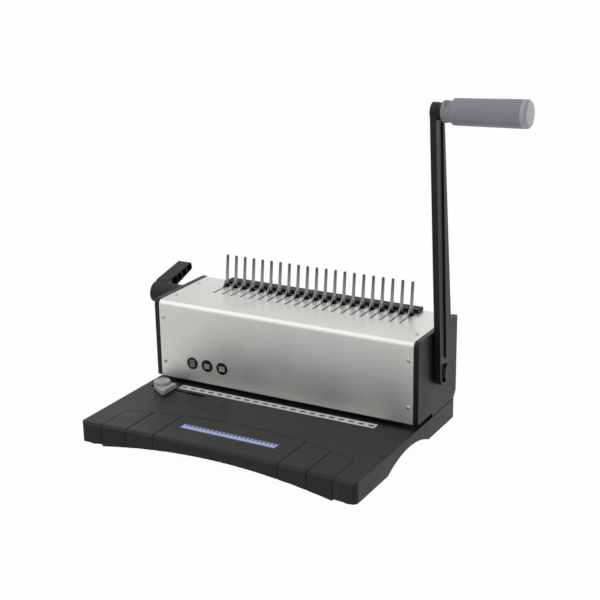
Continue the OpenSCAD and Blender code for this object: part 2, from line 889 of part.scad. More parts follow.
module top_cover() {
    color("silver") difference() {
        along_x(-panel_x0, panel_x0) difference() {
            round_front(cover_y0, cover_y1, cover_z0, cover_z1, bend_r);
            round_front(inner_y, cover_y1 + over, cover_z0 - over, inner_z, bend_in);
        }
        each_finger() {
            block([-slot_w / 2, slot_y0, inner_z - over], [slot_w / 2, mouth_y1, cover_z1 + over]);
            block([-mouth_w / 2, mouth_y1 - mouth_d, inner_z - over],
                  [mouth_w / 2, mouth_y1, cover_z1 + over]);
        }
        both_sides() cover_screw_shanks();
    }
}

module rear_cover() {
    color(plastic_black)
        block([-panel_x0, cover_y1 - rear_cover_t, base_h], [panel_x0, cover_y1, inner_z]);
}

// Right-hand row of cover screws, turned to face the front or the top
module each_cover_screw() {
    for (z = front_screw_z)
        translate([front_screw_x, cover_y0, base_h + z]) rotate([90, 0, 0]) children();
    for (y = top_screw_y)
        translate([top_screw_x, cover_y0 + y, cover_z1]) children();
}

module cover_screw_shanks() {
    each_cover_screw() translate([0, 0, -sheet_t - frame_t])
        cylinder(d = cover_screw_d, h = sheet_t + frame_t + over);
}

module cover_screws() {
    color("silver") both_sides() each_cover_screw() {
        cylinder(d = cover_head_d, h = cover_head_h);
        translate([0, 0, -sheet_t - frame_t]) cylinder(d = cover_screw_d, h = sheet_t + frame_t + over / 2);
    }
}

module badges() {
    color([0.08, 0.08, 0.08]) for (i = [0 : 2])
        translate([badge_x0 + i * badge_step, cover_y0, badge_z]) rotate([90, 0, 0])
            cylinder(d = badge_d, h = badge_t);
}

// The arm as it leans at rest, with its pivot at the main shaft
module at_pivot() {
    translate([0, shaft_y, shaft_z]) rotate([arm_lean, 0, 0]) children();
}

// Places a piece on the grip's axis, with X counted from the arm's inner face
module on_grip() {
    at_pivot() translate([arm_x0, grip_off, arm_l]) rotate([0, -grip_tilt, 0]) children();
}

// Side view of the tapered arm, with the pivot at the origin
module arm_outline() {
    polygon([[-arm_w / 2, 0], [arm_w / 2, 0], [arm_tip_w / 2 + grip_off, arm_l],
             [-arm_tip_w / 2 + grip_off, arm_l]]);
}

// Rear part of the arm's outer face, raised behind a front strip
module arm_step_outline() {
    front = [-2.5, 4.7];
    low = 22;
    high = arm_l - collar_d / 2;
    intersection() {
        arm_outline();
        polygon([[front[0], low], [arm_w, low + arm_w], [arm_w, high], [front[1], high]]);
    }
}

// Recess beside the pivot, bounded behind by a round hub
module arm_recess_outline() {
    front = -13.5;
    rear = 16;
    height = 26.6;
    fall = 10.6;
    top = 18;
    hub_r = 16;
    hub_at = [14, -4];
    difference() {
        polygon([[front, top], [rear, top - fall], [rear, top - fall - height], [front, top - height]]);
        translate(hub_at) circle(hub_r);
    }
}

module handle_arm() {
    recess_t = 3.4;
    color(plastic_black) difference() {
        union() {
            at_pivot() {
                bar_x(arm_x0, arm_x1, 0, 0, 2 * arm_boss_r);
                along_x(arm_x0, arm_x1) arm_outline();
                along_x(arm_x0, arm_x1 + arm_step) arm_step_outline();
                bar_x(arm_x0, arm_x1, grip_off, arm_l, tip_d);
            }
            on_grip() bar_x(arm_t / 2, collar_x0, 0, 0, tip_boss_d);
        }
        on_grip() bar_x(spindle_in, collar_x0 + over, 0, 0, spindle_d);
        at_pivot() {
            bar_x(0, shaft_seat, 0, 0, shaft_d);
            along_x(arm_x1 - recess_t, arm_x1 + over) arm_recess_outline();
        }
    }
}

module grip_spindle() {
    color("silver") on_grip() bar_x(spindle_in, grip_x1 - cap_l, 0, 0, spindle_d);
}

module grip_collar() {
    flange_l = 4;
    flange_rise = 1;
    color([0.5, 0.49, 0.52]) on_grip() difference() {
        union() {
            bar_x(collar_x0, collar_x0 + flange_l, 0, 0, collar_d + flange_rise);
            bar_x(collar_x0, grip_x0, 0, 0, collar_d);
        }
        bar_x(0, grip_x1, 0, 0, spindle_d);
    }
}

// Places a turned profile on the grip's axis: its radius, then its place along the axis
module turned_on_grip() {
    on_grip() rotate([0, 90, 0]) rotate_extrude() children();
}

module handle_grip() {
    round_r = 3;
    color([0.5, 0.49, 0.52]) turned_on_grip() polygon([
        [spindle_d / 2, grip_x0], [grip_in_d / 2 - round_r, grip_x0], [grip_in_d / 2, grip_x0 + round_r],
        [grip_d / 2, grip_x1 - cap_l], [cap_spigot_d / 2, grip_x1 - cap_l],
        [cap_spigot_d / 2, grip_x1 - 2 * cap_l], [spindle_d / 2, grip_x1 - 2 * cap_l]
    ]);
}

module grip_cap() {
    crown = 4;
    color([0.5, 0.49, 0.52]) turned_on_grip() {
        translate([0, grip_x1 - 2 * cap_l]) difference() {
            square([cap_spigot_d / 2, cap_l]);
            translate([0, -over]) square([spindle_d / 2, cap_l + over]);
        }
        translate([0, grip_x1 - cap_l]) square([grip_d / 2, cap_l - crown]);
        translate([0, grip_x1 - crown]) square([grip_d / 2 - crown, crown]);
        translate([grip_d / 2 - crown, grip_x1 - crown]) intersection() {
            circle(crown);
            square(crown);
        }
    }
}

module comb_fingers() {
    foot_z = finger_strip_top - finger_root;
    rise = cover_z1 + finger_h - foot_z;
    color("silver") {
        block([comb_x - span / 2 - strip_end, finger_y, finger_strip_top - finger_strip_h],
              [comb_x + span / 2 + strip_end, finger_y + finger_t, finger_strip_top]);
        each_finger() translate([0, finger_y, foot_z]) rotate([90 - finger_lean, 0, 0])
            translate([0, 0, -finger_t]) linear_extrude(finger_t) {
                polygon([[-finger_w / 2, 0], [finger_w / 2, 0],
                         [finger_tip_w / 2, rise - finger_tip_w / 2],
                         [-finger_tip_w / 2, rise - finger_tip_w / 2]]);
                translate([0, rise - finger_tip_w / 2]) circle(d = finger_tip_w);
            }
    }
}

module comb_support() {
    color(steel)
        block([-frame_x0, finger_y + finger_t, finger_strip_top - finger_strip_h],
              [frame_x0, finger_y + finger_t + support_t, finger_strip_top - finger_root]);
}

module comb_bar() {
    color(plastic_black)
        block([comb_x - span / 2 - comb_bar_end[0], comb_bar_y0, cover_z1],
              [comb_x + span / 2 + comb_bar_end[1], cover_y1, cover_z1 + comb_bar_h]);
}

// Side view of a hook: a tongue that curves up from the plate to the finger
module hook_outline() {
    top = cover_z1 + hook_h;
    intersection() {
        translate([hook_y1 - hook_reach, top + hook_drop]) difference() {
            circle(hook_r + hook_t / 2);
            circle(hook_r - hook_t / 2);
        }
        translate([hook_y1 - hook_reach, hook_z0]) square([hook_r + hook_t, top - hook_z0]);
    }
}

module hook_plate() {
    color("silver") {
        block([-hook_edge, hook_plate_y0, hook_z0], [hook_edge, hook_y1, hook_z1]);
        each_finger() along_x(-hook_w / 2, hook_w / 2) hook_outline();
    }
}

module hook_racks() {
    back_y0 = -(hook_rack_lower + 0.5) * tooth_step;
    color("gray") both_sides() along_x(gear_x - gear_w / 2, gear_x + gear_w / 2)
        translate([lever_y, lever_z + lever_pr]) {
            rotate(-90) rack_teeth(hook_rack_lower, hook_rack_upper);
            translate([back_y0, dedendum]) square([hook_y1 - lever_y - back_y0, rack_back]);
        }
}

module hook_rails() {
    color(steel) both_sides() {
        block([rail_x0, rail_y0, rail_top - rail_drop], [rail_x1, rail_y1, rail_top]);
        block([hook_edge + end_gap, rail_y0, rail_top - over / 2], [rail_x1, rail_y1, inner_z]);
    }
}

module opener_shaft() {
    color("silver") bar_x(hub_x0 + hub_wall, panel_x0, lever_y, lever_z, opener_d);
}

module opener_pinions() {
    color("gray") both_sides() difference() {
        along_x(gear_x - gear_w / 2, gear_x + gear_w / 2)
            translate([lever_y, lever_z]) pinion_outline(lever_teeth, 90);
        bar_x(0, half_w, lever_y, lever_z, opener_d);
    }
}

module opener_collars() {
    color("dimgray") both_sides()
        ring_x(frame_x0 - bush_flange - end_gap - collar_w, frame_x0 - bush_flange - end_gap,
               lever_y, lever_z, opener_d + 2 * collar_ring, opener_d);
}

module opener_bushes() {
    color([0.75, 0.6, 0.3]) both_sides() bush(lever_y, lever_z, opener_d);
}

// Side view of the paddle, with the lever's axis at the origin and the top edge level
module paddle_outline() {
    top = hub_d / 2 + paddle_up;
    tip = paddle_l - paddle_round;
    polygon([[-hub_d / 4, hub_d / 3], [paddle_lead, top], [tip, top], [tip, top - paddle_tip_h],
             [0, top - paddle_root_h]]);
    translate([tip, top - paddle_tip_h + paddle_round])
        square([paddle_round, paddle_tip_h - 2 * paddle_round]);
    for (z = [top - paddle_round, top - paddle_tip_h + paddle_round])
        translate([tip, z]) circle(paddle_round);
}

// Hollow of the paddle, split by cross ribs
module paddle_hollow() {
    top = hub_d / 2 + paddle_up;
    first = hub_d / 2 + paddle_wall;
    last = paddle_l - paddle_wall;
    taper = (paddle_root_h - paddle_tip_h) / paddle_l;
    difference() {
        polygon([
            [first, top - paddle_wall], [last, top - paddle_wall], [last, top - paddle_tip_h + paddle_wall],
            [first, top - paddle_tip_h + paddle_wall - taper * (last - first)]
        ]);
        for (i = [1 : paddle_ribs])
            translate([first + i * (last - first) / (paddle_ribs + 1) - paddle_wall / 2, -hub_d])
                square([paddle_wall, 2 * hub_d]);
    }
}

module opener_lever() {
    color(plastic_black) translate([0, lever_y, lever_z]) difference() {
        union() {
            bar_x(hub_x0, hub_x1, 0, 0, hub_d);
            along_x(hub_x0, hub_x0 + paddle_w) rotate(paddle_rise) paddle_outline();
        }
        along_x(hub_x0 + paddle_web, hub_x0 + paddle_w + over) rotate(paddle_rise) paddle_hollow();
        bar_x(hub_x0 + hub_wall, hub_x1 + over, 0, 0, opener_d);
        bar_x(hub_x0 - over, hub_x1, 0, 0, lever_screw_d);
        bar_x(hub_x0 - over, hub_x0 + lever_head_h, 0, 0, lever_head_d);
    }
}

module lever_screw() {
    color("silver") {
        bar_x(hub_x0, hub_x0 + lever_head_h, lever_y, lever_z, lever_head_d);
        bar_x(hub_x0, hub_x0 + hub_wall, lever_y, lever_z, lever_screw_d);
    }
}

module guide_block() {
    face_y0 = guide_rear_y - guide_l;
    color([0.72, 0.72, 0.74]) translate([0, 0, base_h + guide_fit]) difference() {
        linear_extrude(guide_h) {
            translate([guide_x, guide_y]) circle(d = guide_boss_d);
            polygon([
                [guide_x - guide_boss_d / 4, guide_y - sqrt(3) / 4 * guide_boss_d],
                [guide_face_x - guide_face_t, face_y0], [guide_face_x, face_y0],
                [guide_face_x, guide_rear_y], [guide_x, guide_rear_y]
            ]);
        }
        translate([guide_x, guide_y, -over]) cylinder(d = stud_d + 2 * shaft_fit, h = guide_h + 2 * over);
    }
}

module guide_knob() {
    color([0.78, 0.78, 0.8]) translate([guide_x, guide_y, knob_z0]) difference() {
        cylinder(d = knob_d, h = knob_t);
        translate([0, 0, -over]) cylinder(d = stud_d, h = knob_seat + over);
    }
}

module guide_stud() {
    stud_z0 = base_top_z - guide_fit - clamp_plate_t;
    color("silver") translate([guide_x, guide_y, stud_z0])
        cylinder(d = stud_d, h = knob_z0 + knob_seat - stud_z0);
}

module guide_clamp() {
    color(steel) translate([guide_x, guide_y, base_top_z - guide_fit - clamp_plate_t]) difference() {
        block([-clamp_l / 2, -clamp_w / 2, 0], [clamp_l / 2, clamp_w / 2, clamp_plate_t]);
        translate([0, 0, -over]) cylinder(d = stud_d + 2 * shaft_fit, h = clamp_plate_t + 2 * over);
    }
}

base_shell();
bottom_plate();
base_screws();
rubber_feet();
drawer_rails();
scale_strip();
chip_drawer();
drawer_label();
die_bar();
stripper_bar();
throat_spacers();
paper_stop();
guide_posts();
punch_carrier();
punches();
clamp_bar();
clamp_screws();
punch_racks();
main_shaft();
punch_pinions();
shaft_collars();
shaft_bushes();
frame_left();
frame_right();
tie_rods();
side_panel_left();
side_panel_right();
top_cover();
rear_cover();
cover_screws();
badges();
handle_arm();
grip_spindle();
grip_collar();
handle_grip();
grip_cap();
comb_fingers();
comb_support();
comb_bar();
hook_plate();
hook_racks();
hook_rails();
opener_shaft();
opener_pinions();
opener_collars();
opener_bushes();
opener_lever();
lever_screw();
guide_block();
guide_knob();
guide_stud();
guide_clamp();
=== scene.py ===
"""The looks of a plastic comb binding machine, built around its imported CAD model."""

import json
import math

import bmesh
import bpy
from mathutils import Matrix, Vector


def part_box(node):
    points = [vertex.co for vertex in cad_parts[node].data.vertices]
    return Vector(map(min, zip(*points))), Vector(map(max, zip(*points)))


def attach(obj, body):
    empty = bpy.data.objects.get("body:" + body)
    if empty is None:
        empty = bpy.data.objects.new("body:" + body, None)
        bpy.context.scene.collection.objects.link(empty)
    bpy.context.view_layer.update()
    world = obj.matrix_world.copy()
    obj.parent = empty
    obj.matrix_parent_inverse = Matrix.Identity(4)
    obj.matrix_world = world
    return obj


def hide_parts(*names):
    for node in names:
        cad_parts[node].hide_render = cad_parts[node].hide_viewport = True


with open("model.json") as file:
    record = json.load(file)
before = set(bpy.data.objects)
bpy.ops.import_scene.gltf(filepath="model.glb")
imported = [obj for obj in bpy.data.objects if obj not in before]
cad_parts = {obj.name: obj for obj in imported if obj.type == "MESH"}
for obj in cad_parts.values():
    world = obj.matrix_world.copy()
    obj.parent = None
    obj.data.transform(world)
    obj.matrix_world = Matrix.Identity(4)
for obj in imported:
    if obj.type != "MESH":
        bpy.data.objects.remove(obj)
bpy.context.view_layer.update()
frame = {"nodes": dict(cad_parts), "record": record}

# Base moulding
# The wide black foot of the machine is one injection moulding in ABS, hollow below, with a fine
# spark-eroded grain. Its sharp outer edges are broken by a small radius.

MM = 0.001
nodes = frame["nodes"]
bodies = frame["record"]["behaviour"]["bodies"]
body_of = {node: body for body, members in bodies.items() for node in members}


def linear(colour):
    """A colour written as an sRGB hex value, as the linear RGBA that Blender mixes."""
    parts = [int(colour[i:i + 2], 16) / 255 for i in (1, 3, 5)]
    return [p / 12.92 if p < 0.04045 else ((p + 0.055) / 1.055) ** 2.4 for p in parts] + [1.0]


def add(tree, kind, settings=None, inputs=None):
    """Adds a node with its settings. An input takes a plain value or another node's output."""
    new = tree.nodes.new(kind)
    for name, value in (settings or {}).items():
        setattr(new, name, value)
    for key, value in (inputs or {}).items():
        if isinstance(value, bpy.types.NodeSocket):
            tree.links.new(value, new.inputs[key])
        else:
            new.inputs[key].default_value = value
    return new


def new_finish(name, colour, roughness, metallic=0.0):
    """A material with its plain values set on the shader, ready for a pattern."""
    material = bpy.data.materials.new(name)
    material.use_nodes = True
    shader = material.node_tree.nodes["Principled BSDF"]
    shader.inputs["Base Color"].default_value = linear(colour)
    shader.inputs["Roughness"].default_value = roughness
    shader.inputs["Metallic"].default_value = metallic
    return material, material.node_tree, shader


BROAD_CELL = 60 * MM
FINE_SHARE = 0.6
NOISE_LOW, NOISE_HIGH = 0.5, 1.1


def grain(tree, shader, cell, tints, gloss, depth, stretch=(1, 1, 1)):
    """Lays a noise over a finish, cell and depth in mm: two roughnesses, a relief and mostly two tints."""
    place = add(tree, "ShaderNodeTexCoord").outputs["Object"]
    place = add(tree, "ShaderNodeMapping", inputs={"Vector": place, "Scale": stretch}).outputs[0]
    fine = add(tree, "ShaderNodeTexNoise", inputs={
        "Vector": place, "Scale": 1 / (cell * MM), "Detail": 3, "Roughness": 0.6}).outputs[0]
    broad = add(tree, "ShaderNodeTexNoise", inputs={
        "Vector": place, "Scale": 1 / BROAD_CELL, "Detail": 2}).outputs[0]
    both = add(tree, "ShaderNodeMath", {"operation": "MULTIPLY_ADD"}, {
        0: fine, 1: FINE_SHARE, 2: broad}).outputs[0]
    rough = add(tree, "ShaderNodeMapRange", inputs={
        0: both, 1: NOISE_LOW, 2: NOISE_HIGH, 3: gloss[0], 4: gloss[1]}).outputs[0]
    relief = add(tree, "ShaderNodeBump", inputs={
        "Height": fine, "Distance": depth * MM, "Strength": 1.0}).outputs[0]
    tree.links.new(rough, shader.inputs["Roughness"])
    tree.links.new(relief, shader.inputs["Normal"])
    if tints:
        share = add(tree, "ShaderNodeMapRange", inputs={
            0: both, 1: NOISE_LOW, 2: NOISE_HIGH}).outputs[0]
        tint = add(tree, "ShaderNodeMix", {"data_type": "RGBA"}, {
            0: share, 6: linear(tints[0]), 7: linear(tints[1])}).outputs[2]
        tree.links.new(tint, shader.inputs["Base Color"])


def moulded_abs(name, colour, tints, sheen):
    """ABS from a spark-eroded mould: dull, with a faint silky sheen at a low angle."""
    # The real grain is about 0.2 mm. It is drawn at 0.7 mm, because a finer one would not show.
    material, tree, shader = new_finish(name, colour, 0.45)
    shader.inputs["Specular IOR Level"].default_value = sheen
    grain(tree, shader, 0.7, tints, (0.38, 0.5), 0.03)
    return material


def plain(piece):
    """Turns a piece's modifiers into a plain mesh."""
    held = piece.evaluated_get(bpy.context.evaluated_depsgraph_get())
    mesh = bpy.data.meshes.new_from_object(held)
    piece.modifiers.clear()
    piece.data = mesh
    mesh.name = piece.name
    return piece


def dress(piece, material, slot, body, *replaced):
    """Gives a new piece its one material and its body, and hides the nodes it stands for. The slot is not
    used.
    """
    piece.data.materials.clear()
    piece.data.materials.append(material)
    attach(piece, body)
    if replaced:
        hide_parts(*replaced)


def new_piece(name, mesh):
    """Puts a mesh into the scene under a name."""
    piece = bpy.data.objects.new(name, mesh)
    bpy.context.scene.collection.objects.link(piece)
    return piece


def as_mesh(name, work):
    """Ends the work on a shape and keeps it as a mesh."""
    mesh = bpy.data.meshes.new(name)
    work.to_mesh(mesh)
    work.free()
    return mesh


def smoothed(piece, angle):
    """Shades a piece so that flat faces stay flat and only the edges between them look round."""
    plain(piece)
    piece.data.shade_smooth()
    piece.data.set_sharp_from_angle(angle=math.radians(angle))
    weigh = piece.modifiers.new("weigh", "WEIGHTED_NORMAL")
    weigh.weight = 100
    weigh.keep_sharp = True
    plain(piece)


# How wide a face has to be beside an edge, and how long the edges at its ends, in radii.
ROOM_ACROSS, ROOM_ALONG = 2.2, 1.5


def edges_with_room(work, radius, smooth):
    """The sharp outer edges whose neighbours leave room for a radius. The others are dropped in turn."""
    kept = {edge for edge in work.edges
            if edge.is_convex and edge.calc_face_angle(0) > math.radians(smooth)
            and all(face.calc_area() > ROOM_ACROSS * radius * edge.calc_length() for face in edge.link_faces)}
    while True:
        tight = {corner for edge in kept for corner in edge.verts
                 if any(e not in kept and e.calc_length() < ROOM_ALONG * radius for e in corner.link_edges)}
        crowded = {edge for edge in kept if tight.intersection(edge.verts)}
        if not crowded:
            return kept
        kept -= crowded


# Points closer than this are one point, edges shorter than this go, and faces this near to flat are one face.
MERGE, SLIVER = 0.03 * MM, 0.01 * MM
FLAT = math.radians(0.06)


def softened(name, node, radius, material, slot, steps=2, smooth=32):
    """A copy of a CAD node with its sharp edges rounded, radius in mm, which stands for the node."""
    work = bmesh.new()
    work.from_mesh(nodes[node].data)
    bmesh.ops.remove_doubles(work, verts=work.verts, dist=MERGE)
    bmesh.ops.dissolve_degenerate(work, edges=work.edges, dist=SLIVER)
    bmesh.ops.dissolve_limit(work, angle_limit=FLAT, verts=work.verts, edges=work.edges)
    work.normal_update()
    weights = work.edges.layers.float.new("bevel_weight_edge")
    for edge in edges_with_room(work, radius * MM, smooth):
        edge[weights] = 1.0
    piece = new_piece(name, as_mesh(name, work))
    rounding = piece.modifiers.new("rounding", "BEVEL")
    rounding.width = radius * MM
    rounding.segments = steps
    rounding.limit_method = "WEIGHT"
    rounding.use_clamp_overlap = False
    smoothed(piece, smooth)
    dress(piece, material, slot, body_of[node], node)
    return piece


black_abs = moulded_abs("moulded_black_ABS", "#09090a", ("#070707", "#0c0c0d"), 0.25)
softened("base_moulding", "base_shell", 0.6, black_abs, "black_plastic")

# Rubber feet
# Four round pads of dark rubber under the corners hold the base clear of the desk and keep the machine
# from sliding when the handle is pulled.

def dull_rubber():
    """Natural rubber from a plain mould: matt, slightly dusty."""
    material, tree, shader = new_finish("matt_rubber", "#161616", 0.8)
    grain(tree, shader, 0.9, ("#121212", "#1f1f1e"), (0.72, 0.9), 0.04)
    return material


softened("foot_pads", "rubber_feet", 0.8, dull_rubber(), "rubber")

# Floor plate, its screws and the drawer rails
# A ground steel sheet closes the base from below and carries the drawer. Four nickel-plated screws hold it,
# and two steel strips on it guide the drawer.

def ground_steel():
    """Ground steel: bright, with fine lines along the piece from the grinding wheel."""
    # Real lines are under 0.1 mm apart. They are drawn 0.8 mm apart, because finer ones would not show.
    material, tree, shader = new_finish("ground_steel", "#9fa1a4", 0.36, 1.0)
    grain(tree, shader, 0.8, ("#8d8f92", "#b0b2b5"), (0.3, 0.44), 0.01, stretch=(0.04, 1, 1))
    return material


def nickel_plate():
    """Nickel-plated steel: smooth and bright, a little warm."""
    material, tree, shader = new_finish("nickel_plate", "#b9b8b4", 0.28, 1.0)
    grain(tree, shader, 1.5, ("#aeada9", "#c4c3bf"), (0.22, 0.34), 0.004)
    return material


def finish_nodes(names, material):
    """Gives CAD nodes whose shape is right a better material."""
    for name in names:
        nodes[name].data.materials.clear()
        nodes[name].data.materials.append(material)


steel = ground_steel()
nickel = nickel_plate()
finish_nodes(["bottom_plate", "drawer_rails"], steel)
finish_nodes(["base_screws"], nickel)

# Chip drawer
# The wide panel in the shelf is the front of a drawer that catches the punched chips. It is moulded in the
# same ABS as the base, and two pairs of grooves divide it.

softened("chip_drawer_moulding", "chip_drawer", 0.4, black_abs, "black_plastic")

# Label on the drawer
# A printed film label lies in a shallow pocket of the drawer panel. Its blue ground carries a pale band
# along the front and, behind that, a navy strip with a row of pale ticks.

LABEL_INK = 0.04 * MM
LABEL_CORNER = 0.4 * MM
STRIP_DEPTH, TICK_DEPTH = 5.4 * MM, 4.0 * MM
BAND_MIDDLE, NAVY_MIDDLE, TICK_MIDDLE = 5.0 * MM, 10.6 * MM, 10.0 * MM
BAND_MARGIN, NAVY_MARGIN, TICK_MARGIN = 3 * MM, 2 * MM, 6 * MM
LABEL_TICKS = 24
TICK_W = 2.8 * MM
label_low, label_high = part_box("drawer_label")
label_w = label_high.x - label_low.x
label_x = (label_low.x + label_high.x) / 2


def printed_film(name, colour, tints):
    """Screen ink on polyester film: even colour under a thin satin coat."""
    material, tree, shader = new_finish(name, colour, 0.42)
    grain(tree, shader, 1.2, tints, (0.36, 0.48), 0.004)
    return material


def node_tree(name, sizes):
    """A Geometry Nodes tree with named inputs for its sizes, and its input and output nodes."""
    tree = bpy.data.node_groups.new(name, "GeometryNodeTree")
    for label, kind in sizes.items():
        tree.interface.new_socket(label, in_out="INPUT", socket_type="NodeSocket" + kind)
    tree.interface.new_socket("Mesh", in_out="OUTPUT", socket_type="NodeSocketGeometry")
    return tree, tree.nodes.new("NodeGroupInput"), tree.nodes.new("NodeGroupOutput")


def set_out(tree, size, end, places, shape, turned=None):
    """Ends a tree: one real copy of a shape on each place, in its finish."""
    inputs = {"Points": places, "Instance": shape}
    if turned is not None:
        inputs["Rotation"] = turned
    row = add(tree, "GeometryNodeInstanceOnPoints", inputs=inputs).outputs[0]
    row = add(tree, "GeometryNodeRealizeInstances", inputs={0: row}).outputs[0]
    row = add(tree, "GeometryNodeSetMaterial", inputs={
        0: row, "Material": size.outputs["Finish"]}).outputs[0]
    tree.links.new(row, end.inputs[0])
    return tree


def grown(name, tree, sizes, mesh=None):
    """Runs a tree with the given sizes, on a mesh if it needs one, and keeps its result as a plain mesh."""
    piece = new_piece(name, mesh or bpy.data.meshes.new(name))
    modifier = piece.modifiers.new(name, "NODES")
    modifier.node_group = tree
    for item in tree.interface.items_tree:
        if item.in_out == "INPUT" and item.name in sizes:
            modifier[item.identifier] = sizes[item.name]
    return plain(piece)


def row_tree():
    """A row of flat bars with round corners, spread evenly along X from a first place."""
    tree, size, end = node_tree("row_of_bars", {
        "Count": "Int", "First": "Vector", "Pitch": "Float", "Width": "Float", "Depth": "Float",
        "Corner": "Float", "Thickness": "Float", "Finish": "Material"})
    step = add(tree, "ShaderNodeCombineXYZ", inputs={0: size.outputs["Pitch"]}).outputs[0]
    places = add(tree, "GeometryNodeMeshLine", inputs={
        "Count": size.outputs["Count"], "Start Location": size.outputs["First"], "Offset": step}).outputs[0]
    outline = add(tree, "GeometryNodeCurvePrimitiveQuadrilateral", inputs={
        0: size.outputs["Width"], 1: size.outputs["Depth"]}).outputs[0]
    outline = add(tree, "GeometryNodeFilletCurve", {"mode": "POLY"}, {
        "Curve": outline, "Count": 4, "Radius": size.outputs["Corner"]}).outputs[0]
    face = add(tree, "GeometryNodeFillCurve", {"mode": "NGONS"}, {0: outline}).outputs[0]
    raised = add(tree, "GeometryNodeExtrudeMesh", inputs={
        "Mesh": face, "Offset Scale": size.outputs["Thickness"]}).outputs[0]
    closed = add(tree, "GeometryNodeFlipFaces", inputs={0: face}).outputs[0]
    bar = add(tree, "GeometryNodeJoinGeometry")
    tree.links.new(raised, bar.inputs[0])
    tree.links.new(closed, bar.inputs[0])
    bar = add(tree, "GeometryNodeMergeByDistance", inputs={
        0: bar.outputs[0], "Distance": 0.001 * MM}).outputs[0]
    return set_out(tree, size, end, places, bar)


def label_strip(name, middle, depth, count, width, pitch, bottom, finish):
    """A centred row of printed bars on the label, its middle at a distance from the label's front edge."""
    first = (label_x - pitch * (count - 1) / 2, label_low.y + middle, bottom)
    strip = grown(name, row_of_bars, {
        "Count": count, "First": first, "Pitch": pitch, "Width": width, "Depth": depth,
        "Corner": LABEL_CORNER, "Thickness": LABEL_INK, "Finish": finish})
    dress(strip, finish, "label_blue", "drawer")


row_of_bars = row_tree()
film_blue = printed_film("printed_film_blue", "#3d55a0", ("#384f98", "#435ca9"))
film_pale = printed_film("printed_film_pale_blue", "#b9c6f0", ("#b2bfe9", "#c0cdf6"))
film_navy = printed_film("printed_film_navy", "#34405f", ("#2f3a58", "#394667"))
finish_nodes(["drawer_label"], film_blue)
label_top = label_high.z
navy_top = label_top + LABEL_INK
tick_pitch = (label_w - TICK_MARGIN) / (LABEL_TICKS - 1)
label_strip("label_band", BAND_MIDDLE, STRIP_DEPTH, 1, label_w - BAND_MARGIN, 0.0, label_top, film_pale)
label_strip("label_ground", NAVY_MIDDLE, STRIP_DEPTH, 1, label_w - NAVY_MARGIN, 0.0, label_top, film_navy)
label_strip("label_ticks", TICK_MIDDLE, TICK_DEPTH, LABEL_TICKS, TICK_W, tick_pitch, navy_top, film_pale)

# Hole scale in the shelf
# A pale printed strip is let into the base in front of the throat. One dark dash stands for each hole of
# the row. The print sits a little to the left of the punches.

RINGS = 21
HOLE_W = 8 * MM
DASH_W, DASH_DEPTH, DASH_CORNER = 8.4 * MM, 4.4 * MM, 1.2 * MM
DASH_SHIFT = 1.5 * MM
film_white = printed_film("printed_strip_white", "#cfd0cc", ("#c8c9c5", "#d6d7d3"))
film_black = printed_film("printed_strip_black", "#4a4a4b", ("#444445", "#505051"))
strip_low, strip_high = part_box("scale_strip")
punch_low, punch_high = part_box("punches")
ring_pitch = (punch_high.x - punch_low.x - HOLE_W) / (RINGS - 1)
first_dash = (punch_low.x + HOLE_W / 2 - DASH_SHIFT, (strip_low.y + strip_high.y) / 2, strip_high.z)
finish_nodes(["scale_strip"], film_white)
dashes = grown("scale_dashes", row_of_bars, {
    "Count": RINGS, "First": first_dash, "Pitch": ring_pitch, "Width": DASH_W, "Depth": DASH_DEPTH,
    "Corner": DASH_CORNER, "Thickness": LABEL_INK, "Finish": film_black})
dress(dashes, film_black, "strip_white", "base")

# Punch and its drive
# Hidden behind the cover: ground bars below and above the paper throat, the punch beam on its two posts,
# and the shaft whose pinions and racks drive it when the handle is pulled.

def sintered_bronze():
    """Sintered bronze bush: matt, oily and slightly speckled."""
    material, tree, shader = new_finish("sintered_bronze", "#a5834a", 0.5, 1.0)
    grain(tree, shader, 0.5, ("#94743f", "#b59257"), (0.44, 0.6), 0.01)
    return material


bronze = sintered_bronze()
finish_nodes(["die_bar", "stripper_bar", "throat_spacers", "paper_stop", "punch_carrier", "clamp_bar",
              "punch_racks", "punch_pinions"], steel)
finish_nodes(["guide_posts", "punches", "clamp_screws", "main_shaft", "shaft_collars"], nickel)
finish_nodes(["shaft_bushes"], bronze)

# Side frames
# Two steel plates with bent flanges stand on the base and carry the shafts and the cover. Two rods tie
# them together.

finish_nodes(["frame_left", "frame_right"], steel)
finish_nodes(["tie_rods"], nickel)

# Side panels
# Two black ABS mouldings close the ends of the body and stand on the base. The shafts come out through
# them to the two levers.

softened("panel_left_moulding", "side_panel_left", 0.6, black_abs, "black_plastic", steps=3)
softened("panel_right_moulding", "side_panel_right", 0.6, black_abs, "black_plastic", steps=3)

# Cover
# One steel sheet is bent over the front and the top and sprayed with a satin silver lacquer. Slots in its
# top let the hooks slide, and each widens to a mouth where a finger stands.

COVER_T = 1.5 * MM
COVER_BEND = 7 * MM
BEND_STEPS = 10
SLOT_W, MOUTH_W = 3 * MM, 8.5 * MM
SLOT_FRONT, MOUTH_FRONT, MOUTH_REAR = 60 * MM, 91.8 * MM, 103.5 * MM
RIM_R = 0.25 * MM
RIM_ANGLE = 40
cover_low, cover_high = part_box("top_cover")
finger_low, finger_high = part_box("comb_fingers")
comb_x = (finger_low.x + finger_high.x) / 2
finger_x = [comb_x + (i - (RINGS - 1) / 2) * ring_pitch for i in range(RINGS)]


def silver_lacquer():
    """Aluminium-flake lacquer on steel: satin, with fine flakes and a little orange peel."""
    # Real flakes are under 0.1 mm. They are drawn at 0.6 mm, because finer ones would not show.
    material, tree, shader = new_finish("satin_silver_lacquer", "#cccbc8", 0.42, 0.85)
    grain(tree, shader, 0.6, ("#c6c5c2", "#d3d2cf"), (0.38, 0.46), 0.006)
    return material


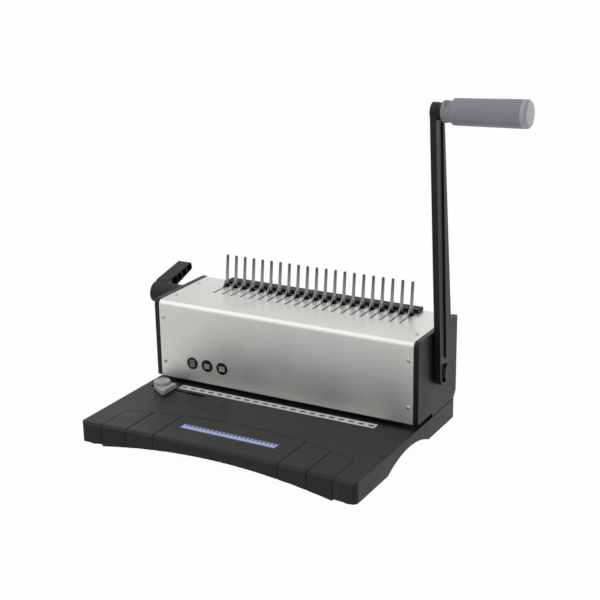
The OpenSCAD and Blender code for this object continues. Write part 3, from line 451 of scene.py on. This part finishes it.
def cover_profile():
    """Points of the sheet's outer face in Y and Z, from the throat up and back, with each slot's ends."""
    turns = [math.radians(90 * i / BEND_STEPS) for i in range(BEND_STEPS + 1)]
    bend = [(cover_low.y + COVER_BEND * (1 - math.cos(a)), cover_high.z - COVER_BEND * (1 - math.sin(a)))
            for a in turns]
    ends = [cover_low.y + back for back in (SLOT_FRONT, MOUTH_FRONT, MOUTH_REAR)] + [cover_high.y]
    return [(cover_low.y, cover_low.z)] + bend + [(y, cover_high.z) for y in ends]


def cover_mesh():
    """The outer face as a grid whose lines run along the slots, without the cells that the slots take."""
    columns = sorted([cover_low.x, cover_high.x] + [
        x + side * half for x in finger_x for side in (-1, 1) for half in (SLOT_W / 2, MOUTH_W / 2)])
    rows = cover_profile()
    # The profile's last four points are the slot's front, the mouth's front, its rear and the sheet's end.
    # Across the sheet each slot has four lines: the mouth's side, both sides of the slot, the mouth's side.
    slot_row = len(rows) - 4
    work = bmesh.new()
    grid = [[work.verts.new((x, y, z)) for x in columns] for y, z in rows]
    for r in range(len(rows) - 1):
        for c in range(len(columns) - 1):
            in_slot = c % 4 == 2
            in_mouth = (c - 1) % 4 < 3 and 0 < c < len(columns) - 2
            cut = (r == slot_row and in_slot) or (r == slot_row + 1 and in_mouth)
            if not cut:
                work.faces.new((grid[r][c], grid[r][c + 1], grid[r + 1][c + 1], grid[r + 1][c]))
    bmesh.ops.delete(work, geom=[v for v in work.verts if not v.link_faces], context="VERTS")
    return as_mesh("cover_sheet", work)


cover = new_piece("cover_sheet", cover_mesh())
wall = cover.modifiers.new("wall", "SOLIDIFY")
wall.thickness = COVER_T
wall.offset = -1
wall.use_even_offset = True
rim = cover.modifiers.new("rim", "BEVEL")
rim.width = RIM_R
rim.segments = 2
rim.limit_method = "ANGLE"
rim.angle_limit = math.radians(RIM_ANGLE)
rim.use_clamp_overlap = False
smoothed(cover, RIM_ANGLE)
dress(cover, silver_lacquer(), "silver_paint", "base", "top_cover")

# Rear cover
# A flat steel sheet closes the back of the body between the side panels. It is finished in black stoving
# enamel.

def black_enamel():
    """Black stoving enamel on steel sheet: satin, with orange peel."""
    material, tree, shader = new_finish("black_stove_enamel", "#1b1b1c", 0.4)
    grain(tree, shader, 2.2, ("#181819", "#202021"), (0.34, 0.46), 0.02)
    return material


softened("rear_sheet", "rear_cover", 0.3, black_enamel(), "black_paint")

# Cover screws
# Eight nickel-plated pan-head screws with a cross recess hold the cover to the flanges of the side frames,
# four in front and four on top.

HEAD_D, HEAD_H = 5.6 * MM, 1.4 * MM
# The share of the head's height that stands straight below its dome.
HEAD_RIM = 0.35
DOME_STEPS = 10
SHANK_D, SHANK_L = 3 * MM, 4.4 * MM
RECESS_REACH, RECESS_HALF, RECESS_FLOOR = 1.55 * MM, 0.36 * MM, 0.35 * MM
FRONT_INSET, FRONT_HEIGHTS = 6 * MM, (57.9 * MM, 121.7 * MM)
TOP_INSET, TOP_DEPTHS = 9 * MM, (57.5 * MM, 115.5 * MM)
SCREW_SEED = 4
SCREW_SMOOTH = 35


def spun(name, profile, steps=48):
    """A closed body turned about Z from a profile of radius and height, given from axis to axis."""
    work = bmesh.new()
    line = [work.verts.new((r, 0, z)) for r, z in profile]
    edges = [work.edges.new(pair) for pair in zip(line, line[1:])]
    bmesh.ops.spin(work, geom=line + edges, cent=(0, 0, 0), axis=(0, 0, 1), angle=2 * math.pi, steps=steps)
    bmesh.ops.remove_doubles(work, verts=work.verts, dist=0.002 * MM)
    bmesh.ops.dissolve_degenerate(work, edges=work.edges, dist=0.001 * MM)
    bmesh.ops.recalc_face_normals(work, faces=work.faces)
    return new_piece(name, as_mesh(name, work))


def add_block(work, low, high):
    """Adds a block between two corners to a shape."""
    low, high = Vector(low), Vector(high)
    bmesh.ops.create_cube(work, size=1, matrix=Matrix.LocRotScale((low + high) / 2, None, high - low))


def box_piece(name, low, high):
    """A block between two corners."""
    work = bmesh.new()
    add_block(work, low, high)
    return new_piece(name, as_mesh(name, work))


def cut_from(piece, tools):
    """Takes tools away from a piece and removes them."""
    for tool in tools:
        cut = piece.modifiers.new("cut", "BOOLEAN")
        cut.operation = "DIFFERENCE"
        cut.solver = "EXACT"
        cut.object = tool
    plain(piece)
    for tool in tools:
        bpy.data.objects.remove(tool)


def pan_head_screw():
    """One screw with a domed head, its face towards +Z."""
    turns = [math.radians(90 * i / DOME_STEPS) for i in range(DOME_STEPS + 1)]
    dome = [(HEAD_D / 2 * math.sin(a), HEAD_H * (HEAD_RIM + (1 - HEAD_RIM) * math.cos(a))) for a in turns]
    below = [(HEAD_D / 2, 0), (SHANK_D / 2, 0), (SHANK_D / 2, -SHANK_L), (0, -SHANK_L)]
    screw = spun("screw_pattern", dome + below)
    reach, half, floor, top = RECESS_REACH, RECESS_HALF, RECESS_FLOOR, 2 * HEAD_H
    cut_from(screw, [box_piece("recess_a", (-reach, -half, floor), (reach, half, top)),
                     box_piece("recess_b", (-half, -reach, floor), (half, reach, top))])
    return screw


def screw_tree(pattern):
    """Sets a screw on each point, facing along the point's own direction and turned by chance."""
    tree, size, end = node_tree("set_screws", {
        "Points": "Geometry", "Seed": "Int", "Finish": "Material"})
    facing = add(tree, "GeometryNodeInputNamedAttribute", {"data_type": "FLOAT_VECTOR"}, {
        "Name": "facing"}).outputs[0]
    turn = add(tree, "FunctionNodeRandomValue", {"data_type": "FLOAT"}, {
        2: 0.0, 3: math.pi / 2, "Seed": size.outputs["Seed"]}).outputs[1]
    turned = add(tree, "FunctionNodeAxisAngleToRotation", inputs={
        "Axis": (0, 0, 1), "Angle": turn}).outputs[0]
    aimed = add(tree, "FunctionNodeAlignRotationToVector", {"axis": "Z"}, {"Vector": facing}).outputs[0]
    aimed = add(tree, "FunctionNodeRotateRotation", {"rotation_space": "LOCAL"}, {
        0: aimed, 1: turned}).outputs[0]
    screw = add(tree, "GeometryNodeObjectInfo", inputs={"Object": pattern}).outputs["Geometry"]
    return set_out(tree, size, end, size.outputs["Points"], screw, aimed)


def points_mesh(name, places, directions):
    """Loose points that each keep the direction they face."""
    mesh = bpy.data.meshes.new(name)
    mesh.from_pydata(places, [], [])
    facing = mesh.attributes.new("facing", "FLOAT_VECTOR", "POINT")
    for item, direction in zip(facing.data, directions):
        item.vector = direction
    return mesh


front_x, top_x = cover_high.x - FRONT_INSET, cover_high.x - TOP_INSET
places = [(side * front_x, cover_low.y, z) for side in (-1, 1) for z in FRONT_HEIGHTS]
places += [(side * top_x, y, cover_high.z) for side in (-1, 1) for y in TOP_DEPTHS]
directions = [(0, -1, 0)] * 4 + [(0, 0, 1)] * 4
pattern = pan_head_screw()
cover_screws = grown("cover_screw_set", screw_tree(pattern), {"Seed": SCREW_SEED, "Finish": nickel},
                     points_mesh("cover_screw_set", places, directions))
bpy.data.objects.remove(pattern)
cover_screws.data.shade_smooth()
cover_screws.data.set_sharp_from_angle(angle=math.radians(SCREW_SMOOTH))
dress(cover_screws, nickel, "nickel", "base", "cover_screws")

# Badges
# Three black domed stickers stand in a row on the cover's front. Each has a small white sign: a sheet, a
# stack of sheets and a row of rings.

BADGE_D = 17.5 * MM
BADGE_INK = 0.05 * MM
badge_low, badge_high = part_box("badges")


def badge_black():
    """Black print under a clear domed resin: glossy."""
    material, tree, shader = new_finish("gloss_badge_black", "#0c0c0d", 0.2)
    grain(tree, shader, 3.0, ("#0a0a0b", "#101011"), (0.16, 0.26), 0.003)
    return material


def inked(name, bars, x, z, front):
    """White bars given as x0, x1, z0, z1 in mm from a centre, printed on a face that looks towards -Y."""
    work = bmesh.new()
    for x0, x1, z0, z1 in bars:
        add_block(work, (x + x0 * MM, front - BADGE_INK, z + z0 * MM), (x + x1 * MM, front, z + z1 * MM))
    return new_piece(name, as_mesh(name, work))


softened("badge_discs", "badges", 0.2, badge_black(), "badge_black")
film_sign = printed_film("printed_sign_white", "#c9cac8", ("#c2c3c1", "#d0d1cf"))
SHEET = [(-3.4, -2.8, -4.4, 4.4), (2.8, 3.4, -4.4, 4.4), (-2.8, 2.8, 3.8, 4.4), (-2.8, 2.8, -4.4, -3.8),
         (-1.6, 1.6, 1.4, 2.0), (-1.6, 1.6, -0.3, 0.3), (-1.6, 1.6, -2.0, -1.4)]
STACK = [(-4.2, 4.2, z, z + 1.0) for z in (-3.8, -1.9, 0.0, 1.9)]
COMB = [(-4.6, 4.6, -3.6, -2.4)] + [(x, x + 1.0, -2.4, 3.4) for x in (-4.4, -2.5, -0.5, 1.5, 3.4)]
badge_z = (badge_low.z + badge_high.z) / 2
badge_step = (badge_high.x - badge_low.x - BADGE_D) / 2
for i, (name, sign) in enumerate([("sign_sheet", SHEET), ("sign_stack", STACK), ("sign_rings", COMB)]):
    badge_x = badge_low.x + BADGE_D / 2 + i * badge_step
    dress(inked(name, sign, badge_x, badge_z, badge_low.y), film_sign, "strip_white", "base")

# Comb fingers and the bar behind them
# A stamped steel plate stands behind the slots with one leaning finger for each ring of the comb, held by a
# steel bar inside. A dark grey ABS bar on the cover's rear edge backs the fingers up.

FOOT_FADE = 3 * MM
FOOT_BLACK = 3 * MM
# The black of painted shade, on the fingers' feet and on the hook plate.
PAINTED_SHADE_BLACK = "#161617"


def burnished_steel():
    """Hardened steel, tumbled and oiled: darker towards the tips, brighter towards the foot, and painted
    black at the foot as the shade in its mouth.
    """
    foot, tip = "#a4a5a6", "#4d4e50"
    material, tree, shader = new_finish("burnished_steel", foot, 0.38, 0.9)
    grain(tree, shader, 1.0, None, (0.32, 0.46), 0.01)
    place = add(tree, "ShaderNodeTexCoord").outputs["Object"]
    height = add(tree, "ShaderNodeSeparateXYZ", inputs={0: place}).outputs["Z"]
    rise = add(tree, "ShaderNodeMapRange", inputs={
        0: height, 1: cover_high.z, 2: finger_high.z}).outputs[0]
    # Darker towards the tips and brighter towards the foot, by height.
    tip_to_foot_tone = add(tree, "ShaderNodeMix", {"data_type": "RGBA"}, {
        0: rise, 6: linear(foot), 7: linear(tip)}).outputs[2]
    # Painted shade: from a little above the cover down, the finger goes black where it stands in its mouth.
    inside = add(tree, "ShaderNodeMapRange", inputs={
        0: height, 1: cover_high.z + FOOT_BLACK + FOOT_FADE, 2: cover_high.z + FOOT_BLACK}).outputs[0]
    tint = add(tree, "ShaderNodeMix", {"data_type": "RGBA"}, {
        0: inside, 6: tip_to_foot_tone, 7: linear(PAINTED_SHADE_BLACK)}).outputs[2]
    tree.links.new(tint, shader.inputs["Base Color"])
    return material


softened("finger_plate", "comb_fingers", 0.2, burnished_steel(), "nickel", smooth=40)
dark_abs = moulded_abs("moulded_dark_grey_ABS", "#242425", ("#1f1f20", "#29292a"), 0.08)
softened("finger_back_bar", "comb_bar", 0.8, dark_abs, "black_plastic")
finish_nodes(["comb_support"], steel)

# Hook plate and its drive
# A sliding steel plate under the cover has one hook for each ring, which pulls the comb open. Its colour
# has painted shade, black on the hooks' sides and under the cover from the mouths back, and painted light,
# much lighter below the cover top than on the hooks. Its racks, rails and shaft are hidden below it.

SIDE_FROM, SIDE_TO = 0.4, 0.7


def steel_with_painted_shade_and_light():
    """Steel, grey on the hooks, with painted shade: black on faces turned across X and under the cover from
    the mouths back. Below the cover top it is painted much lighter, as light in the slots.
    """
    hook, plate = "#727374", "#d8d9da"
    material, tree, shader = new_finish("worn_black_oxide_steel", hook, 0.38, 0.9)
    grain(tree, shader, 1.0, None, (0.32, 0.46), 0.01)
    # Painted shade: faces turned across X, the hooks' sides, go black.
    facing = add(tree, "ShaderNodeNewGeometry").outputs["Normal"]
    across = add(tree, "ShaderNodeSeparateXYZ", inputs={0: facing}).outputs["X"]
    across = add(tree, "ShaderNodeMath", {"operation": "ABSOLUTE"}, {0: across}).outputs[0]
    side = add(tree, "ShaderNodeMapRange", inputs={0: across, 1: SIDE_FROM, 2: SIDE_TO}).outputs[0]
    place = add(tree, "ShaderNodeTexCoord").outputs["Object"]
    place = add(tree, "ShaderNodeSeparateXYZ", inputs={0: place})
    # Painted shade: under the cover, from the mouths' front backwards, the plate goes black.
    mouth = cover_low.y + MOUTH_FRONT
    behind = add(tree, "ShaderNodeMapRange", inputs={
        0: place.outputs["Y"], 1: mouth - FOOT_FADE, 2: mouth}).outputs[0]
    below = add(tree, "ShaderNodeMapRange", inputs={
        0: place.outputs["Z"], 1: cover_high.z, 2: cover_high.z - FOOT_FADE}).outputs[0]
    hidden = add(tree, "ShaderNodeMath", {"operation": "MULTIPLY"}, {0: behind, 1: below}).outputs[0]
    black = add(tree, "ShaderNodeMath", {"operation": "MAXIMUM"}, {0: side, 1: hidden}).outputs[0]
    # Painted light: below the cover top the plate is much lighter than the hooks, for the light in the slots.
    lit_below_top = add(tree, "ShaderNodeMix", {"data_type": "RGBA"}, {
        0: below, 6: linear(hook), 7: linear(plate)}).outputs[2]
    tint = add(tree, "ShaderNodeMix", {"data_type": "RGBA"}, {
        0: black, 6: lit_below_top, 7: linear(PAINTED_SHADE_BLACK)}).outputs[2]
    tree.links.new(tint, shader.inputs["Base Color"])
    return material


softened("hook_slide_plate", "hook_plate", 0.2, steel_with_painted_shade_and_light(), "nickel", smooth=40)
finish_nodes(["hook_racks", "hook_rails", "opener_pinions"], steel)
finish_nodes(["opener_shaft", "opener_collars"], nickel)
finish_nodes(["opener_bushes"], bronze)

# Punch handle
# A tapered arm moulded in black ABS has a shallow step along its outer face. At its tip a grey grip with a
# collar and a rounded end cap sits on a nickel-plated spindle. The cap's grey is painted paler, for the light
# on its end.

def grip_plastic(name, colour, tints):
    """Grey polypropylene from a lightly grained mould: soft sheen."""
    # The real grain is about 0.2 mm. It is drawn at 0.8 mm, because a finer one would not show.
    material, tree, shader = new_finish(name, colour, 0.46)
    grain(tree, shader, 0.8, tints, (0.4, 0.52), 0.025)
    return material


grey_pp = grip_plastic("grained_grey_PP", "#88858c", ("#838087", "#8e8b92"))
# Painted light: the end cap is the grip's plastic made paler, for the light falling on its end face.
lit_grey_pp = grip_plastic("grained_pale_grey_PP", "#aba9b1", ("#a6a4ac", "#b1afb7"))
softened("handle_arm_moulding", "handle_arm", 0.3, black_abs, "black_plastic", steps=3)
softened("grip_collar_ring", "grip_collar", 0.5, grey_pp, "grip_plastic")
softened("grip_barrel", "handle_grip", 0.5, grey_pp, "grip_plastic")
softened("grip_end_cap", "grip_cap", 0.4, lit_grey_pp, "grip_plastic")
finish_nodes(["grip_spindle"], nickel)

# Comb lever
# The small lever at the left opens the comb. Its hub and ribbed paddle are one ABS moulding, and a screw
# in the hub's outer end holds it on the opener shaft.

softened("comb_lever_moulding", "opener_lever", 0.5, black_abs, "black_plastic", steps=3)
finish_nodes(["lever_screw"], nickel)

# Side guide
# A light-grey ABS block slides along its slot to set the sheet's edge. A flat knob with a ribbed rim locks
# it, on a stud that draws a steel clamp up under the base top.

KNOB_RIDGES = 40
RIDGE_SIDES = 10
RIDGE_R, RIDGE_SPREAD = 0.5 * MM, 1.3
RIDGE_MARGIN = 1.2 * MM
knob_low, knob_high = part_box("guide_knob")
knob_r = (knob_high.x - knob_low.x) / 2
knob_t = knob_high.z - knob_low.z
knob_mid = (knob_low + knob_high) / 2


def guide_plastic():
    """Light-grey ABS, smooth from a polished mould."""
    material, tree, shader = new_finish("smooth_grey_ABS", "#a9a9ab", 0.4)
    grain(tree, shader, 1.6, ("#a3a3a5", "#b0b0b2"), (0.34, 0.46), 0.01)
    return material


def knob_tree():
    """A ring of upright half-round ridges round a knob."""
    tree, size, end = node_tree("knob_ridges", {
        "Count": "Int", "Ring radius": "Float", "Ridge radius": "Float", "Height": "Float",
        "Centre": "Vector", "Finish": "Material"})
    ring = add(tree, "GeometryNodeMeshCircle", inputs={
        "Vertices": size.outputs["Count"], "Radius": size.outputs["Ring radius"]}).outputs[0]
    ring = add(tree, "GeometryNodeTransform", inputs={
        0: ring, "Translation": size.outputs["Centre"]}).outputs[0]
    ridge = add(tree, "GeometryNodeMeshCylinder", inputs={
        "Vertices": RIDGE_SIDES, "Radius": size.outputs["Ridge radius"],
        "Depth": size.outputs["Height"]}).outputs[0]
    return set_out(tree, size, end, ring, ridge)


grey_abs = guide_plastic()
softened("guide_block_moulding", "guide_block", 0.5, grey_abs, "guide_plastic", steps=3)
softened("guide_knob_body", "guide_knob", 0.5, grey_abs, "guide_plastic", steps=3)
ridges = grown("guide_knob_ridges", knob_tree(), {
    "Count": KNOB_RIDGES, "Ring radius": knob_r - RIDGE_R, "Ridge radius": RIDGE_R * RIDGE_SPREAD,
    "Height": knob_t - RIDGE_MARGIN, "Centre": tuple(knob_mid), "Finish": grey_abs})
dress(ridges, grey_abs, "guide_plastic", "guide_lock")
finish_nodes(["guide_clamp"], steel)
finish_nodes(["guide_stud"], nickel)

# Studio
# A plain pale floor and soft white light from all sides. One large lamp hangs at the left in front, and two
# smaller ones stand behind the machine. The camera stands where the photograph was taken.

CAMERA_AT = Vector((0.8162, -1.3648, 0.7071))
CAMERA_AZIMUTH, CAMERA_ELEVATION, CAMERA_ROLL = 29.41, 18.30, -0.97
CAMERA_LENS, CAMERA_SENSOR = 78.35, 36
FLOOR_HALF, FLOOR_T, FLOOR_GAP = 6, 0.02, 0.0002
FLOOR_WHITE = 0.97
SKY_LIGHT = 0.45

turn, lift = math.radians(CAMERA_AZIMUTH), math.radians(CAMERA_ELEVATION)
back = Vector((math.sin(turn) * math.cos(lift), -math.cos(turn) * math.cos(lift), math.sin(lift)))
right = Vector((0, 0, 1)).cross(back).normalized()
up = back.cross(right)
pose = Matrix((right, up, back)).transposed() @ Matrix.Rotation(math.radians(CAMERA_ROLL), 3, "Z")
camera = bpy.data.objects.new("camera", bpy.data.cameras.new("camera"))
camera.data.lens = CAMERA_LENS
camera.data.sensor_width = CAMERA_SENSOR
camera.matrix_world = Matrix.Translation(CAMERA_AT) @ pose.to_4x4()
bpy.context.scene.collection.objects.link(camera)
bpy.context.scene.camera = camera


def seen_white(tree):
    """1 for the rays that show the background: from the camera, or by way of gloss or glass."""
    path = add(tree, "ShaderNodeLightPath")
    total = add(tree, "ShaderNodeMath", {"operation": "ADD"}, {
        0: path.outputs["Is Camera Ray"], 1: path.outputs["Is Glossy Ray"]}).outputs[0]
    return add(tree, "ShaderNodeMath", {"operation": "ADD", "use_clamp": True}, {
        0: total, 1: path.outputs["Is Transmission Ray"]}).outputs[0]


def pale_floor():
    """A white sheet that keeps only a faint shadow."""
    material = bpy.data.materials.new("pale_studio_floor")
    material.use_nodes = True
    tree = material.node_tree
    tree.nodes.clear()
    lit = add(tree, "ShaderNodeBsdfDiffuse", inputs={"Color": linear("#f2f2f2")}).outputs[0]
    white = add(tree, "ShaderNodeEmission", inputs={"Color": linear("#ffffff"), "Strength": 1.0}).outputs[0]
    share = add(tree, "ShaderNodeMath", {"operation": "MULTIPLY"}, {
        0: seen_white(tree), 1: FLOOR_WHITE}).outputs[0]
    mixed = add(tree, "ShaderNodeMixShader", inputs={0: share, 1: lit, 2: white}).outputs[0]
    add(tree, "ShaderNodeOutputMaterial", inputs={"Surface": mixed})
    return material


floor = box_piece("studio_floor", (-FLOOR_HALF, -FLOOR_HALF, -FLOOR_T), (FLOOR_HALF, FLOOR_HALF, -FLOOR_GAP))
floor.data.materials.append(pale_floor())

world = bpy.data.worlds.new("studio")
world.use_nodes = True
world.node_tree.nodes.clear()
strength = add(world.node_tree, "ShaderNodeMapRange", inputs={
    0: seen_white(world.node_tree), 3: SKY_LIGHT, 4: 1.0}).outputs[0]
sky = add(world.node_tree, "ShaderNodeBackground", inputs={
    "Color": linear("#ffffff"), "Strength": strength}).outputs[0]
add(world.node_tree, "ShaderNodeOutputWorld", inputs={"Surface": sky})
bpy.context.scene.world = world


def softbox(name, place, target, width, power):
    """A square lamp that faces a target."""
    lamp = bpy.data.lights.new(name, "AREA")
    lamp.shape = "SQUARE"
    lamp.size = width
    lamp.energy = power
    holder = bpy.data.objects.new(name, lamp)
    holder.location = place
    holder.rotation_euler = (Vector(target) - Vector(place)).to_track_quat("-Z", "Y").to_euler()
    bpy.context.scene.collection.objects.link(holder)


softbox("key_lamp", (-1.3, -0.9, 1.9), (0, 0, 0.1), 3.0, 25)
softbox("rear_lamp", (-0.8, 1.95, 0.88), (0.05, 0.05, 0.145), 0.9, 1.3)
softbox("side_lamp", (1.0, 2.0, 0.7), (0.15, 0.05, 0.15), 1.2, 11)
bpy.context.scene.view_settings.view_transform = "Standard"
